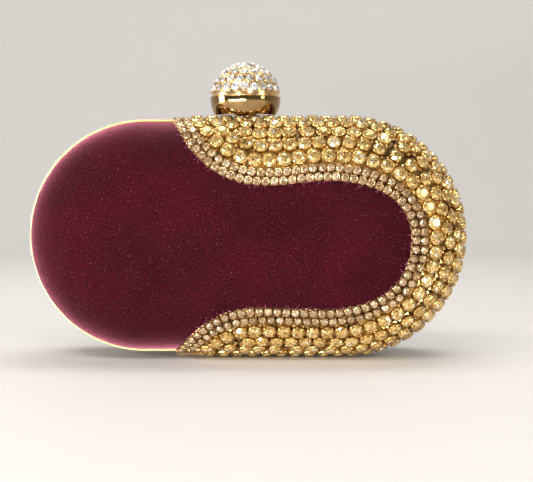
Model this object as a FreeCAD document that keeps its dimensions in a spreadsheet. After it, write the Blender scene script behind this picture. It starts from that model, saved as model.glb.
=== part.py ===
import FreeCAD, Part
import Sketcher
import math
import os

# Evening clutch: a stadium-shaped box of two padded, velvet-covered half shells in thin metal
# frames, hinged along the bottom and held by a ball clasp on top. Rows of claw-set stones wrap
# the right-hand end of the front half. Millimetres. +X right seen from the front, -Y front,
# +Z up. The origin is on the surface that it stands on, under the middle of the seam.

Vector = FreeCAD.Vector
FRONT, BACK = -1, 1

SIZES = [
    # the case
    ("case_length", 190.0),
    ("case_height", 102.0),
    ("base_height", 1.9),  # underside of the frames above the surface
    ("roll_radius", 24.0),  # rounded edge of the velvet, front to side
    ("layer_gap", 0.1),
    ("velvet_thick", 0.8),
    ("padding_thick", 1.2),
    ("shell_thick", 1.6),
    ("lining_thick", 0.5),
    # the frames
    ("seam_gap", 0.15),  # half of the gap between the two frames
    ("frame_depth", 3.5),
    ("frame_web", 2.0),
    ("frame_lip", 0.9),
    ("frame_inner_wall", 1.0),
    # the hinge
    ("hinge_length", 60.0),
    ("knuckle_length", 12.0),
    ("knuckle_radius", 1.9),
    ("hinge_pin_radius", 0.75),
    ("hinge_play", 0.05),
    ("leaf_thick", 0.8),
    ("leaf_reach", 5.3),
    ("leaf_rise", 3.4),  # height of the leaf rivets above the hinge axis
    ("rivet_radius", 0.6),
    ("rivet_head_radius", 1.0),
    # the clasp, measured down from the top of the frames
    ("pivot_drop", 10.5),
    ("pivot_pin_radius", 0.8),
    ("lever_width", 8.0),
    ("stem_front", 0.3),  # the stem stands just behind the seam
    ("stem_thick", 0.9),
    ("lever_barrel_radius", 1.7),
    ("hook_reach", 7.3),
    ("bracket_width", 24.0),
    ("ear_span", 16.0),
    ("ear_thick", 1.0),
    ("ear_radius", 1.8),
    ("plate_thick", 0.9),
    ("striker_span", 10.8),
    ("striker_bar", 1.2),
    ("screw_radius", 0.6),
    ("screw_head_radius", 0.9),
    # the ball
    ("ball_radius", 15.5),
    ("ball_rise", 9.5),  # ball centre above the frames
    ("ball_cut", 7.55),  # flat base below the ball centre
    ("ball_wall", 0.8),
    ("dome_radius", 14.9),
    ("crystal_radius", 1.7),
    ("bezel_radius", 1.95),
    # inside fittings
    ("loop_radius", 3.2),
    ("loop_wire", 0.9),
    ("loop_offset", 30.0),
    ("pocket_width", 88.0),
    ("pocket_height", 40.0),
    ("pocket_thick", 0.8),
    # the stones
    ("small_radius", 1.55),
    ("large_radius", 2.8),
]

doc = FreeCAD.newDocument("clutch")
sheet = doc.addObject("Spreadsheet::Sheet", "Sheet")
for line, (alias, value) in enumerate(SIZES, start=1):
    sheet.set(f"A{line}", str(value))
    sheet.setAlias(f"A{line}", alias)
doc.recompute()


class Size:
    """A length that keeps its value together with the sheet expression that gives it."""

    def __init__(self, text, value):
        self.text = text
        self.value = value

    def join(self, sign, other, value):
        return Size(f"({self.text} {sign} {as_size(other).text})", value)

    def __add__(self, other):
        return self.join("+", other, self.value + as_size(other).value)

    def __radd__(self, other):
        return as_size(other) + self

    def __sub__(self, other):
        return self.join("-", other, self.value - as_size(other).value)

    def __rsub__(self, other):
        return as_size(other) - self

    def __mul__(self, other):
        return self.join("*", other, self.value * as_size(other).value)

    def __rmul__(self, other):
        return as_size(other) * self

    def __truediv__(self, other):
        return self.join("/", other, self.value / as_size(other).value)

    def __neg__(self):
        return as_size(0) - self

    def leg(self, other):
        """The other leg of the right triangle that has this hypotenuse."""
        squares = self * self - as_size(other) * as_size(other)
        return Size(f"sqrt({squares.text})", math.sqrt(squares.value))


def as_size(value):
    return value if isinstance(value, Size) else Size(f"({value})", float(value))


class Sizes:
    """Every alias of the sheet as a Size, so that size.case_length can be used in a formula."""


size = Sizes()
for alias, value in SIZES:
    setattr(size, alias, Size(f"Sheet.{alias}", value))

# Places that several sub-parts share.
half_height = size.case_height / 2
straight_half = size.case_length / 2 - half_height  # half of the straight top and bottom runs
middle_z = size.base_height + half_height
top_z = size.base_height + size.case_height
velvet_outer = half_height - size.frame_lip - size.layer_gap
flat_half = velvet_outer - size.roll_radius  # where the flat face ends and the roll begins
padding_inset = size.velvet_thick + size.layer_gap
shell_inset = padding_inset + size.padding_thick + size.layer_gap
lining_inset = shell_inset + size.shell_thick + size.layer_gap
channel_outer = half_height - size.frame_lip
channel_inner = velvet_outer - lining_inset
frame_inner = channel_inner - size.frame_inner_wall
frame_back = size.seam_gap + size.frame_depth
frame_under = half_height - frame_inner  # thickness of the frame, outside to inside
web_back = size.seam_gap + size.frame_web
roll_start = frame_back + 0.2
pivot_z = top_z - size.pivot_drop
ball_z = top_z + size.ball_rise


# --- helpers ---------------------------------------------------------------------------------


def bind(thing, prop, value):
    thing.setExpression(prop, as_size(value).text)


def place(thing, x=0, y=0, z=0, rotation=None):
    """Puts a sub-part or a primitive where the sizes say."""
    turn = rotation or FreeCAD.Rotation()
    thing.Placement = FreeCAD.Placement(Vector(0, 0, 0), turn)
    for axis, value in zip("xyz", (x, y, z)):
        if isinstance(value, Size) or value:
            bind(thing, f".Placement.Base.{axis}", value)
    return thing


def box(x, y, z):
    """A box between the two ends given for each axis."""
    made = doc.addObject("Part::Box", "Box")
    for prop, (low, high) in zip(("Length", "Width", "Height"), (x, y, z)):
        bind(made, prop, as_size(high) - low)
    return place(made, x[0], y[0], z[0])


TURN = {
    "x": FreeCAD.Rotation(Vector(0, 1, 0), 90),
    "y": FreeCAD.Rotation(Vector(1, 0, 0), -90),
    "z": FreeCAD.Rotation(),
}


def cylinder(axis, radius, length, x=0, y=0, z=0):
    """A cylinder that starts at the point given and runs along +axis."""
    made = doc.addObject("Part::Cylinder", "Cylinder")
    bind(made, "Radius", radius)
    bind(made, "Height", length)
    return place(made, x, y, z, TURN[axis])


def fuse(label, *things):
    made = doc.addObject("Part::MultiFuse", label)
    made.Shapes = list(things)
    return made


def cut(label, base, *tools):
    made = doc.addObject("Part::Cut", label)
    made.Base = base
    made.Tool = tools[0] if len(tools) == 1 else fuse(f"{label}_tools", *tools)
    return made


def new_body(label):
    return doc.addObject("PartDesign::Body", label)


def sketch_on(body, role, offset=None):
    """A sketch on one of the body's own origin planes, moved along that plane's normal."""
    sketch = body.newObject("Sketcher::SketchObject", "Sketch")
    plane = next(o for o in body.Origin.OriginFeatures if o.Role == role)
    sketch.AttachmentSupport = [(plane, "")]
    sketch.MapMode = "FlatFace"
    if offset is not None:
        bind(sketch, "AttachmentOffset.Base.z", offset)
    return sketch


def lock(sketch, geometry, point, x, y):
    """Fixes a sketch point at sheet-driven coordinates."""
    for kind, value in (("DistanceX", x), ("DistanceY", y)):
        value = as_size(value)
        index = sketch.addConstraint(Sketcher.Constraint(kind, geometry, point, value.value))
        bind(sketch, f"Constraints[{index}]", value)


def outline(sketch, corners, arcs=None):
    """A closed outline through the corners. arcs maps a corner's index to the centre and radius
    of the arc that leaves it; every other side is straight."""
    arcs = arcs or {}
    ends = []
    for i, (x, y) in enumerate(corners):
        start = Vector(as_size(x).value, as_size(y).value, 0)
        next_x, next_y = corners[(i + 1) % len(corners)]
        stop = Vector(as_size(next_x).value, as_size(next_y).value, 0)
        if i not in arcs:
            index = sketch.addGeometry(Part.LineSegment(start, stop), False)
            ends.append((index, 1, 2))
            continue
        cx, cy, radius, turns_left = arcs[i]
        centre = Vector(as_size(cx).value, as_size(cy).value, 0)
        first, last = (start, stop) if turns_left else (stop, start)
        angles = [math.atan2(p.y - centre.y, p.x - centre.x) for p in (first, last)]
        if angles[1] <= angles[0]:
            angles[1] += 2 * math.pi
        circle = Part.Circle(centre, Vector(0, 0, 1), as_size(radius).value)
        index = sketch.addGeometry(Part.ArcOfCircle(circle, *angles), False)
        ends.append((index, 1, 2) if turns_left else (index, 2, 1))
        number = sketch.addConstraint(
            Sketcher.Constraint("Radius", index, as_size(radius).value)
        )
        bind(sketch, f"Constraints[{number}]", radius)
    for i, (index, first, _) in enumerate(ends):
        before, _, last = ends[i - 1]
        sketch.addConstraint(Sketcher.Constraint("Coincident", before, last, index, first))
        lock(sketch, index, first, *corners[i])


def stadium(sketch, radius):
    """The case's outline at one radius: two half circles joined by two straight runs."""
    half, r = straight_half.value, as_size(radius).value
    up = Vector(0, 0, 1)
    quarter = math.pi / 2
    right = sketch.addGeometry(
        Part.ArcOfCircle(Part.Circle(Vector(half, 0, 0), up, r), -quarter, quarter), False
    )
    left = sketch.addGeometry(
        Part.ArcOfCircle(Part.Circle(Vector(-half, 0, 0), up, r), quarter, 3 * quarter), False
    )
    above = sketch.addGeometry(Part.LineSegment(Vector(half, r, 0), Vector(-half, r, 0)), False)
    below = sketch.addGeometry(Part.LineSegment(Vector(-half, -r, 0), Vector(half, -r, 0)), False)
    for a, end_a, b, end_b in (
        (right, 2, above, 1),
        (above, 2, left, 1),
        (left, 2, below, 1),
        (below, 2, right, 1),
    ):
        sketch.addConstraint(Sketcher.Constraint("Tangent", a, end_a, b, end_b))
    lock(sketch, right, 3, straight_half, 0)
    lock(sketch, left, 3, -straight_half, 0)
    for arc in (right, left):
        number = sketch.addConstraint(Sketcher.Constraint("Radius", arc, r))
        bind(sketch, f"Constraints[{number}]", radius)


def pad(body, sketch, length, backwards=False):
    feature = body.newObject("PartDesign::Pad", "Pad")
    feature.Profile = sketch
    bind(feature, "Length", length)
    feature.Reversed = backwards
    return feature


def revolve(body, sketch, axis, angle=360, backwards=False):
    feature = body.newObject("PartDesign::Revolution", "Revolution")
    feature.Profile = sketch
    feature.ReferenceAxis = (sketch, [axis])
    feature.Angle = angle
    feature.Reversed = backwards
    return feature


def feature(label, shape, x=0, y=0, z=0):
    """A sub-part made of many small solids, shaped by Part's own functions."""
    made = doc.addObject("Part::Feature", label)
    made.Shape = shape
    return place(made, x, y, z)


# --- padded half shells ----------------------------------------------------------------------


def half_shell(label, side, inset, thick, start):
    """One domed layer of a half: a flat face, a quarter-round roll and a short straight rim.
    inset is how deep it lies under the velvet's surface, and start is where its rim begins."""
    outer = size.roll_radius - inset
    inner = outer - thick
    rim, centre = start * side, roll_start * side
    face, back_face = (roll_start + outer) * side, (roll_start + inner) * side
    left = side == FRONT
    body = new_body(label)

    section = sketch_on(body, "YZ_Plane", -straight_half)
    outline(
        section,
        [
            (rim, flat_half + outer),
            (centre, flat_half + outer),
            (face, flat_half),
            (face, -flat_half),
            (centre, -flat_half - outer),
            (rim, -flat_half - outer),
            (rim, -flat_half - inner),
            (centre, -flat_half - inner),
            (back_face, -flat_half),
            (back_face, flat_half),
            (centre, flat_half + inner),
            (rim, flat_half + inner),
        ],
        {
            1: (centre, flat_half, outer, left),
            3: (centre, -flat_half, outer, left),
            7: (centre, -flat_half, inner, not left),
            9: (centre, flat_half, inner, not left),
        },
    )
    pad(body, section, straight_half * 2)

    for offset, backwards in ((straight_half, False), (-straight_half, True)):
        half_section = sketch_on(body, "YZ_Plane", offset)
        outline(
            half_section,
            [
                (back_face, 0),
                (face, 0),
                (face, flat_half),
                (centre, flat_half + outer),
                (rim, flat_half + outer),
                (rim, flat_half + inner),
                (centre, flat_half + inner),
                (back_face, flat_half),
            ],
            {
                2: (centre, flat_half, outer, not left),
                6: (centre, flat_half, inner, left),
            },
        )
        revolve(body, half_section, "H_Axis", 180, backwards)
    return place(body, z=middle_z)


def half_layers(prefix, side):
    """Velvet over foam padding over the hard shell, with a satin lining inside."""
    rim = web_back + size.layer_gap
    return [
        half_shell(f"{prefix}_velvet", side, as_size(0), size.velvet_thick, rim),
        half_shell(f"{prefix}_padding", side, padding_inset, size.padding_thick, rim),
        half_shell(f"{prefix}_shell", side, shell_inset, size.shell_thick, rim),
        half_shell(
            f"{prefix}_lining", side, lining_inset, size.lining_thick, frame_back + size.layer_gap
        ),
    ]


# --- frames ----------------------------------------------------------------------------------


def span(side, low, high):
    """The stretch from low to high, measured away from the seam towards one side."""
    return (low, high) if side == BACK else (-as_size(high), -as_size(low))


LEAF_RIVET_X = (-24.0, -12.0, 12.0, 24.0)
BRACKET_SCREW_X = (-10.4, 10.4)
SCREW_Y = 1.25
SCREW_DEPTH = 2.4
NOTCH_PLAY = 0.2
SCREW_PLAY = 0.03


def stem_notch(depth):
    """The gap behind the seam in which the clasp's stem tilts."""
    half = size.lever_width / 2 + 0.6
    return box((-half, half), (0, depth), (top_z - frame_under - 2, top_z + 1))


def frame_ring(prefix, side):
    """A ring of channel section that grips the edges of the velvet, padding and shell."""
    body = new_body(f"{prefix}_ring")
    front_plane = side == FRONT
    outer = sketch_on(body, "XZ_Plane", -size.seam_gap * side)
    stadium(outer, half_height)
    stadium(outer, frame_inner)
    pad(body, outer, size.frame_depth, not front_plane)
    channel = sketch_on(body, "XZ_Plane", -web_back * side)
    stadium(channel, channel_outer)
    stadium(channel, channel_inner)
    groove = body.newObject("PartDesign::Pocket", "Channel")
    groove.Profile = channel
    bind(groove, "Length", size.frame_depth)
    groove.Reversed = front_plane
    return place(body, z=middle_z)


def frame(prefix, side):
    notch_radius = size.knuckle_radius + NOTCH_PLAY
    hinge_notch = cylinder(
        "x", notch_radius, size.hinge_length + 2, -(size.hinge_length + 2) / 2, 0, size.base_height
    )
    leaf_half = size.hinge_length / 2 + NOTCH_PLAY
    leaf_recess = box(
        (-leaf_half, leaf_half),
        span(side, 0, size.seam_gap + size.leaf_thick + NOTCH_PLAY),
        (size.base_height - 1, size.base_height + size.leaf_reach + 0.1),
    )
    holes = [
        cylinder("y", size.rivet_radius + SCREW_PLAY, 1.9, x, 0 if side == BACK else -1.9, rivet_z)
        for x in LEAF_RIVET_X
    ] + [
        cylinder(
            "z", size.screw_radius + SCREW_PLAY, SCREW_DEPTH + 1.1, x, SCREW_Y * side,
            top_z - frame_under - 1,
        )
        for x in BRACKET_SCREW_X
    ]
    if side == BACK:
        holes.append(stem_notch(web_back))
    return cut(f"{prefix}_frame", frame_ring(prefix, side), hinge_notch, leaf_recess, *holes)


# --- hinge -----------------------------------------------------------------------------------

rivet_z = size.base_height + size.leaf_rise
KNUCKLE_GAP = 0.1
BACK_KNUCKLES, FRONT_KNUCKLES = (-24.0, 0.0, 24.0), (-12.0, 12.0)


def hinge_leaf(prefix, side, own, other):
    """A leaf plate let into the frame's seam face, with its knuckles round the pin."""
    half = size.hinge_length / 2
    leaf = span(side, size.seam_gap + KNUCKLE_GAP, size.seam_gap + KNUCKLE_GAP + size.leaf_thick)
    top = size.base_height + size.leaf_reach
    plate = box((-half, half), leaf, (size.base_height, top))
    length = size.knuckle_length - 2 * KNUCKLE_GAP
    knuckles = [
        cylinder("x", size.knuckle_radius, length, x - length / 2, 0, size.base_height)
        for x in own
    ]
    body = fuse(f"{prefix}_leaf_body", plate, *knuckles)
    clear = size.knuckle_length + 2 * KNUCKLE_GAP
    gaps = [
        cylinder(
            "x", size.knuckle_radius + NOTCH_PLAY, clear, x - clear / 2, 0, size.base_height
        )
        for x in other
    ]
    reach = size.hinge_length + 2
    pin_hole = cylinder(
        "x", size.hinge_pin_radius + size.hinge_play, reach, -reach / 2, 0, size.base_height
    )
    start = leaf[0] - 0.5
    rivets = [
        cylinder("y", size.rivet_radius + SCREW_PLAY, 2, x, start, rivet_z) for x in LEAF_RIVET_X
    ]
    sink = leaf[0] - 0.6 if side == BACK else leaf[1] - 0.4
    sinks = [
        cylinder("y", size.rivet_head_radius + SCREW_PLAY, 1, x, sink, rivet_z)
        for x in LEAF_RIVET_X
    ]
    return cut(f"{prefix}_hinge_leaf", body, *gaps, pin_hole, *rivets, *sinks)


def leaf_rivets(prefix, side):
    """Rivets that hold a leaf to its frame, their heads flush in the leaf."""
    face = size.seam_gap + KNUCKLE_GAP
    heads = []
    for x in LEAF_RIVET_X:
        head = span(side, face, face + 0.37)
        shank = span(side, face + 0.1, face + 1.6)
        heads.append(
            fuse(
                "Rivet",
                cylinder("y", size.rivet_head_radius, 0.37, x, head[0], rivet_z),
                cylinder("y", size.rivet_radius, 1.5, x, shank[0], rivet_z),
            )
        )
    made = doc.addObject("Part::Compound", f"{prefix}_leaf_rivets")
    made.Links = heads
    return made


def hinge_pin():
    half = size.hinge_length / 2 + 0.6
    shaft = cylinder("x", size.hinge_pin_radius, half * 2, -half, 0, size.base_height)
    heads = [
        cylinder("x", size.hinge_pin_radius + 0.35, 0.5, x, 0, size.base_height)
        for x in (-half, half - 0.5)
    ]
    return fuse("hinge_pin", shaft, *heads)


# --- clasp -----------------------------------------------------------------------------------

inner_face = top_z - frame_under  # underside of the frames' inner wall at the top


def clasp_bracket():
    """A saddle screwed inside the back frame, whose two ears carry the pivot pin."""
    half = size.bracket_width / 2
    saddle = box((-half, half), (0.3, 3.5), (inner_face - size.plate_thick, inner_face))
    ears = []
    for x in (-size.ear_span / 2 - size.ear_thick, size.ear_span / 2):
        ear = new_body("ear")
        sketch = sketch_on(ear, "YZ_Plane")
        r = size.ear_radius
        under = inner_face - size.plate_thick / 2 - pivot_z
        outline(
            sketch,
            [(0, r), (0.4, r), (0.4, under), (3.4, under), (3.4, 0), (r, 0)],
            {5: (0, 0, r, False)},
        )
        pad(ear, sketch, size.ear_thick)
        ears.append(place(ear, x, 0, pivot_z))
    body = cut("bracket_body", fuse("bracket_solid", saddle, *ears), stem_notch(2.0))
    reach = size.ear_span + 4
    pin_hole = cylinder("x", size.pivot_pin_radius + 0.02, reach, -reach / 2, 0, pivot_z)
    holes = [
        cylinder("z", size.screw_radius + SCREW_PLAY, 3, x, SCREW_Y, inner_face - 2)
        for x in BRACKET_SCREW_X
    ]
    return cut("clasp_bracket", body, pin_hole, *holes)


def plate_screws(label, side):
    """Two small screws that go up through a plate into the frame's web."""
    screws = []
    for x in BRACKET_SCREW_X:
        head_z = inner_face - size.plate_thick - 0.8
        head = cylinder("z", size.screw_head_radius, 0.8, x, SCREW_Y * side, head_z)
        length = size.plate_thick + SCREW_DEPTH
        shank = cylinder("z", size.screw_radius, length, x, SCREW_Y * side, head_z + 0.8)
        screws.append(fuse("Screw", head, shank))
    made = doc.addObject("Part::Compound", label)
    made.Links = screws
    return made


def clasp_pivot_pin():
    half = size.ear_span / 2 + size.ear_thick
    shaft = cylinder("x", size.pivot_pin_radius, half * 2 + 0.8, -half - 0.4, 0, pivot_z)
    heads = [
        cylinder("x", size.pivot_pin_radius + 0.5, 0.5, x, 0, pivot_z)
        for x in (-half - 0.55, half + 0.05)
    ]
    return fuse("clasp_pivot_pin", shaft, *heads)


SPRING_WIRE = 0.3
SPRING_COIL = 1.45
SPRING_PITCH = 0.75
SPRING_TURNS = 4
SPRING_LEG = 3.0


def clasp_spring():
    """A torsion spring on the pivot pin: one leg bears on the bracket, one on the hook arm."""
    start = size.lever_width.value / 2 + 0.45
    helix = Part.makeHelix(SPRING_PITCH, SPRING_PITCH * SPRING_TURNS, SPRING_COIL)
    first, last = helix.Vertexes[0].Point, helix.Vertexes[-1].Point
    ring = Part.Wire(Part.makeCircle(SPRING_WIRE, first, Vector(0, 1, 0)))
    coil = Part.Wire(helix.Edges).makePipeShell([ring], True, True)
    low_leg = Part.makeCylinder(SPRING_WIRE, SPRING_LEG, first, Vector(0, -1, 0))
    high_leg = Part.makeCylinder(SPRING_WIRE, SPRING_LEG, last, Vector(0, 1, 0))
    shape = coil.fuse([low_leg, high_leg])
    turn = FreeCAD.Placement(Vector(start, 0, 0), FreeCAD.Rotation(Vector(0, 1, 0), 90))
    shape = shape.transformGeometry(turn.toMatrix())
    return feature("clasp_spring", shape, z=pivot_z)


def clasp_lever():
    """The lever under the ball: a stem behind the seam, a barrel on the pin and a hook arm."""
    half = size.lever_width / 2
    flange_low = top_z + 0.95
    flange = box((-half, half), (-half, half), (flange_low, flange_low + 0.9))
    stem_back = size.stem_front + size.stem_thick
    stem = box((-half, half), (size.stem_front, stem_back), (pivot_z, flange_low + 0.5))
    barrel = cylinder("x", size.lever_barrel_radius, size.lever_width, -half, 0, pivot_z)
    arm = box((-half, half), (-size.hook_reach, 0), (pivot_z, pivot_z + 1))
    tooth_low = pivot_z - HOOK_DROP
    tooth = box((-half, half), (-size.hook_reach, -size.hook_reach + 1), (tooth_low, pivot_z + 0.5))
    body = fuse("lever_body", flange, stem, barrel, arm, tooth)
    reach = size.lever_width + 2
    pin_hole = cylinder("x", size.pivot_pin_radius + 0.06, reach, -reach / 2, 0, pivot_z)
    screw_hole = cylinder("z", BALL_SCREW_RADIUS + SCREW_PLAY, 2.3, 0, 0, flange_low - 0.6)
    return cut("clasp_lever", body, pin_hole, screw_hole)


HOOK_DROP = 1.3
HOOK_PLAY = 0.1


def clasp_striker():
    """The catch inside the front frame: a plate with two legs and the bar under the hook."""
    half = size.bracket_width / 2
    plate = box((-half, half), (-3.5, -0.3), (inner_face - size.plate_thick, inner_face))
    bar_top = pivot_z - HOOK_DROP - HOOK_PLAY
    bar_front, bar_back = -size.hook_reach + 1.2, -size.hook_reach + 1.2 + size.striker_bar
    leg_half = size.striker_span / 2
    bar = box(
        (-leg_half - 1, leg_half + 1), (bar_front, bar_back), (bar_top - size.striker_bar, bar_top)
    )
    legs = []
    for x in (-leg_half - 1, leg_half):
        leg = new_body("leg")
        sketch = sketch_on(leg, "YZ_Plane")
        low = bar_top - size.striker_bar - pivot_z
        up = inner_face - size.plate_thick / 2 - pivot_z
        outline(
            sketch,
            [
                (-3.4, up),
                (-3.4, 1.2),
                (bar_front, -0.6),
                (bar_front, low),
                (bar_back, low),
                (-2.4, -0.4),
                (-2.4, up),
            ],
        )
        pad(leg, sketch, 1.0)
        legs.append(place(leg, x, 0, pivot_z))
    body = fuse("striker_body", plate, bar, *legs)
    holes = [
        cylinder("z", size.screw_radius + SCREW_PLAY, 3, x, -SCREW_Y, inner_face - 2)
        for x in BRACKET_SCREW_X
    ]
    return cut("clasp_striker", body, *holes)


# --- ball ------------------------------------------------------------------------------------

BALL_SCREW_RADIUS = 1.4
RIM_LOW, RIM_HIGH = 0.05, 0.55


def ball_base_cup():
    """The polished lower bowl of the ball, with a flat base on the lever's flange."""
    body = new_body("ball_base_cup")
    sketch = sketch_on(body, "XZ_Plane")
    outer, inner = size.ball_radius, size.ball_radius - size.ball_wall
    low, floor = -size.ball_cut, -size.ball_cut + size.ball_wall
    hole = BALL_SCREW_RADIUS + SCREW_PLAY
    outline(
        sketch,
        [
            (hole, low),
            (outer.leg(size.ball_cut), low),
            (outer, 0),
            (inner, 0),
            (inner.leg(size.ball_cut - size.ball_wall), floor),
            (hole, floor),
        ],
        {1: (0, 0, outer, True), 3: (0, 0, inner, False)},
    )
    revolve(body, sketch, "V_Axis")
    return place(body, z=ball_z)


def ball_rim_ring():
    """A thin bead round the ball's waist, between the bowl and the dome."""
    body = new_body("ball_rim_ring")
    sketch = sketch_on(body, "XZ_Plane")
    inner, outer = size.dome_radius - size.ball_wall, size.ball_radius + 0.15
    outline(
        sketch,
        [
            (inner, RIM_LOW),
            (outer - 0.15, RIM_LOW),
            (outer, RIM_LOW + 0.15),
            (outer, RIM_HIGH - 0.15),
            (outer - 0.15, RIM_HIGH),
            (inner, RIM_HIGH),
        ],
    )
    revolve(body, sketch, "V_Axis")
    return place(body, z=ball_z)


def ball_dome():
    """The upper shell of the ball, which carries the crystals."""
    body = new_body("ball_dome")
    sketch = sketch_on(body, "XZ_Plane")
    outer, inner = size.dome_radius, size.dome_radius - size.ball_wall
    low = RIM_HIGH + 0.05
    outline(
        sketch,
        [(outer.leg(low), low), (0, outer), (0, inner), (inner.leg(low), low)],
        {0: (0, 0, outer, True), 2: (0, 0, inner, False)},
    )
    revolve(body, sketch, "V_Axis")
    return place(body, z=ball_z)


def ball_screw():
    """The screw inside the ball that holds the bowl to the lever."""
    floor = ball_z - size.ball_cut + size.ball_wall
    shank_low = top_z + 1.25
    shank = cylinder("z", BALL_SCREW_RADIUS, floor - shank_low, 0, 0, shank_low)
    head = cylinder("z", 3.0, 1.6, 0, 0, floor)
    return fuse("ball_screw", shank, head)


CRYSTAL_ROWS = ((15.5, 22), (31.0, 19), (46.5, 15), (62.0, 10), (77.5, 4))


def ball_seats():
    """Outward directions of the crystals: rows round the dome at rising latitudes."""
    seats = []
    for row, (latitude, count) in enumerate(CRYSTAL_ROWS):
        lift = math.radians(latitude)
        for i in range(count):
            turn = 2 * math.pi * (i + 0.5 * (row % 2)) / count - math.pi / 2
            seats.append(
                Vector(
                    math.cos(lift) * math.cos(turn),
                    math.cos(lift) * math.sin(turn),
                    math.sin(lift),
                )
            )
    return seats


def upright(normal):
    return FreeCAD.Rotation(Vector(0, 0, 1), normal)


def spread(solid, seats):
    """Copies of one solid at many places, each a pair of point and outward direction."""
    copies = []
    for point, normal in seats:
        copy = solid.copy()
        copy.Placement = FreeCAD.Placement(point, upright(normal))
        copies.append(copy)
    return Part.makeCompound(copies)


def ring_of(sides, radius, height):
    """The corners of a regular polygon at one height."""
    step = 2 * math.pi / sides
    return [
        Vector(radius * math.cos(step * i), radius * math.sin(step * i), height)
        for i in range(sides)
    ]


def faceted(rings):
    """A closed solid with flat sides through rings of corners. A ring of one point is a tip."""
    faces = []
    for low, high in zip(rings, rings[1:]):
        n = max(len(low), len(high))
        for i in range(n):
            a, b = low[i % len(low)], low[(i + 1) % len(low)]
            c, d = high[(i + 1) % len(high)], high[i % len(high)]
            corners = [p for p, q in zip((a, b, c, d), (b, c, d, a)) if not p.isEqual(q, 1e-9)]
            faces.append(Part.Face(Part.makePolygon(corners + corners[:1])))
    for ends in (rings[0], rings[-1]):
        if len(ends) > 1:
            faces.append(Part.Face(Part.makePolygon(ends + ends[:1])))
    solid = Part.Solid(Part.Shell(faces))
    solid.fixTolerance(1e-6)
    if solid.Volume < 0:
        solid.reverse()
    return solid


SIDES = 8


PAVILION = 0.62  # depth of the pavilion and height of the crown, for a radius of 1
CROWN = 0.42
LARGE_HEIGHT, SMALL_HEIGHT = 2.1, 1.3  # heights of the cups


def gem_for(radius, cup_height):
    """A chaton in its cup: a flat table on a bevelled crown, over a pointed pavilion."""
    girdle = cup_height + STONE_PLAY
    return faceted(
        [
            [Vector(0, 0, girdle - radius * PAVILION)],
            ring_of(SIDES, radius, girdle),
            ring_of(SIDES, radius * 0.6, girdle + radius * CROWN),
        ]
    )


def claw_cup(radius, height, depth):
    """The metal cup under a stone, hollowed for its pavilion."""
    wall = 0.25
    inner = radius - wall
    return faceted(
        [
            [Vector(0, 0, height - depth)],
            ring_of(SIDES, inner, height),
            ring_of(SIDES, radius, height),
            ring_of(SIDES, radius, 0.05),
            [Vector(0, 0, 0.05)],
        ]
    )


def ball_crystals():
    base = size.dome_radius.value + 0.1
    gem = faceted(
        [
            ring_of(SIDES, size.crystal_radius.value * 0.55, 0),
            ring_of(SIDES, size.crystal_radius.value, 0.3),
            ring_of(SIDES, size.crystal_radius.value * 0.62, 0.75),
        ]
    )
    seats = [(normal * base, normal) for normal in ball_seats()]
    return feature("ball_crystals", spread(gem, seats), z=ball_z)


def ball_bezels():
    """A low collar round each crystal."""
    base = size.dome_radius.value + 0.08
    outer = Part.makeCylinder(size.bezel_radius.value, 0.5)
    inner = Part.makeCylinder(size.crystal_radius.value + 0.06, 0.5)
    collar = outer.cut(inner)
    seats = [(normal * base, normal) for normal in ball_seats()]
    return feature("ball_bezels", spread(collar, seats), z=ball_z)


# --- inside fittings -------------------------------------------------------------------------


def chain_loop(label, x):
    """A wire loop soldered under the back frame, for the end of a shoulder chain."""
    loop = doc.addObject("Part::Torus", label)
    bind(loop, "Radius1", size.loop_radius)
    bind(loop, "Radius2", size.loop_wire)
    loop.Angle3 = 180
    return place(loop, x, 1.9, inner_face, FreeCAD.Rotation(Vector(1, 0, 0), -90))


def slip_pocket():
    """A flat satin pocket on the back lining."""
    body = new_body("slip_pocket")
    wall = roll_start + size.roll_radius - lining_inset - size.lining_thick - size.layer_gap
    half, r = size.pocket_width / 2, 8
    high = size.pocket_height * 0.35
    low = -size.pocket_height * 0.65
    sketch = sketch_on(body, "XZ_Plane", -wall)
    outline(
        sketch,
        [
            (-half, high),
            (-half, low + r),
            (-half + r, low),
            (half - r, low),
            (half, low + r),
            (half, high),
        ],
        {1: (-half + r, low + r, r, True), 3: (half - r, low + r, r, True)},
    )
    pad(body, sketch, size.pocket_thick)
    return place(body, z=middle_z)


# --- stones on the front ---------------------------------------------------------------------

# Inner edge of the stone trim, on the velvet laid out flat: x along the case, then the distance
# up or down from the middle line measured over the roll.
TRIM_EDGE = [
    (-31.5, 61.0),
    (-23.4, 38.6),
    (-12.5, 27.6),
    (2.0, 22.3),
    (15.0, 22.0),
    (34.0, 23.9),
    (50.0, 21.9),
    (62.0, 16.3),
    (68.5, 7.2),
    (70.0, -2.0),
    (67.2, -13.4),
    (60.6, -21.8),
    (51.0, -27.2),
    (39.0, -29.6),
    (10.5, -29.2),
    (-8.7, -31.8),
    (-22.0, -41.7),
    (-31.0, -61.0),
]
SMALL_OFFSETS = (1.8, 5.4)
FIRST_LARGE = 10.2
TOP_ROWS, BOTTOM_ROWS = 4, 3  # large rows between the small rows and the outermost row
EDGE_START = -21.0
EDGE_ANGLE = math.radians(74.0)  # where the outermost row sits on the roll
SMALL_LIMIT = math.radians(85.0)  # how far each kind of stone may run onto the roll
LARGE_LIMIT = math.radians(78.0)
SAMPLES = 1200
STEP = 0.2
SPARE = 0.04  # gap that settling aims at
LEAST_HOLE = 2.0  # radius of the smallest hole that takes one more large stone
STONE_PLAY = 0.12
CUP_WALL = 0.25
FOOT_LEVEL = 3.5  # stones that come lower than this carry the case


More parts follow.
